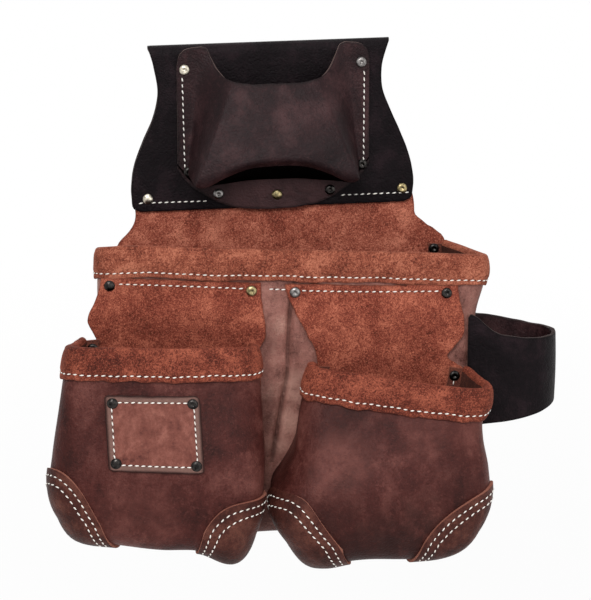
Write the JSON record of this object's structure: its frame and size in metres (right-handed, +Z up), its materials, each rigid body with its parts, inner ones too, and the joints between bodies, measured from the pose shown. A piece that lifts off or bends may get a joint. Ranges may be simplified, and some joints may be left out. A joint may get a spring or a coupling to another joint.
{
  "type": "electrician tool pouch",
  "caption": "Leather electrician's tool pouch for a belt: main bag, two outer pouches, moulded tape holder and side tool loop, riveted and stitched.",
  "frame": {"origin": "middle of the belt tunnel, between its two leather layers and halfway up its clear height", "axes": "+X to the right as seen from the front, along the belt; -Y to the front, +Y towards the wearer; +Z up"},
  "size_m": [0.3709, 0.1446, 0.3603],
  "materials": {
    "dark_leather": "oiled espresso leather",
    "burgundy_leather": "moulded oiled leather with pulled-up highlights",
    "brown_leather": "waxy pull-up leather",
    "patch_leather": "waxy leather, bare",
    "suede": "rough-out split suede",
    "binding_suede": "rough-out split suede",
    "thread": "waxed bonded thread",
    "rivet_metal": "antiqued, worn"
  },
  "bodies": {
    "belt_piece": {"belt_panel": "dark_leather", "belt_panel_rivets": "rivet_metal", "belt_panel_thread": "thread", "tape_holder": "burgundy_leather", "tape_holder_rivets": "rivet_metal", "tape_holder_tab_rivets": "rivet_metal", "tape_holder_thread": "thread", "back_panel_neck": "suede"},
    "bag": {"back_panel": "suede", "main_bag_body": "brown_leather", "main_bag_binding": "binding_suede", "main_bag_rivets": "rivet_metal", "left_pouch_hanger": "suede", "right_pouch_hanger": "suede", "pouch_hanging_rivets": "rivet_metal", "pouch_hanging_thread": "thread", "tool_loop": "dark_leather", "tool_loop_rivets": "rivet_metal"},
    "left_pouch": {"left_pouch_panel": "suede", "left_pouch_body": "brown_leather", "left_pouch_binding": "binding_suede", "left_pouch_left_patch": "brown_leather", "left_pouch_right_patch": "brown_leather", "left_pouch_rivets": "rivet_metal", "label_patch": "patch_leather", "label_patch_rivets": "rivet_metal", "label_patch_thread": "thread"},
    "right_pouch": {"right_pouch_panel": "suede", "right_pouch_body": "brown_leather", "right_pouch_binding": "binding_suede", "right_pouch_left_patch": "brown_leather", "right_pouch_right_patch": "brown_leather", "right_pouch_rivets": "rivet_metal"}
  },
  "joints": [
    {"name": "bag_swing", "type": "hinge", "parent": "belt_piece", "child": "bag", "pos_m": [0, -0.0018, -0.073], "axis": [-1, 0, 0], "range_deg": [0, 20]},
    {"name": "left_pouch_swing", "type": "hinge", "parent": "bag", "child": "left_pouch", "pos_m": [-0.076, -0.0734, -0.123], "axis": [-1, 0, 0], "range_deg": [0, 25]},
    {"name": "right_pouch_swing", "type": "hinge", "parent": "bag", "child": "right_pouch", "pos_m": [0.067, -0.0734, -0.123], "axis": [-1, 0, 0], "range_deg": [0, 25]}
  ]
}
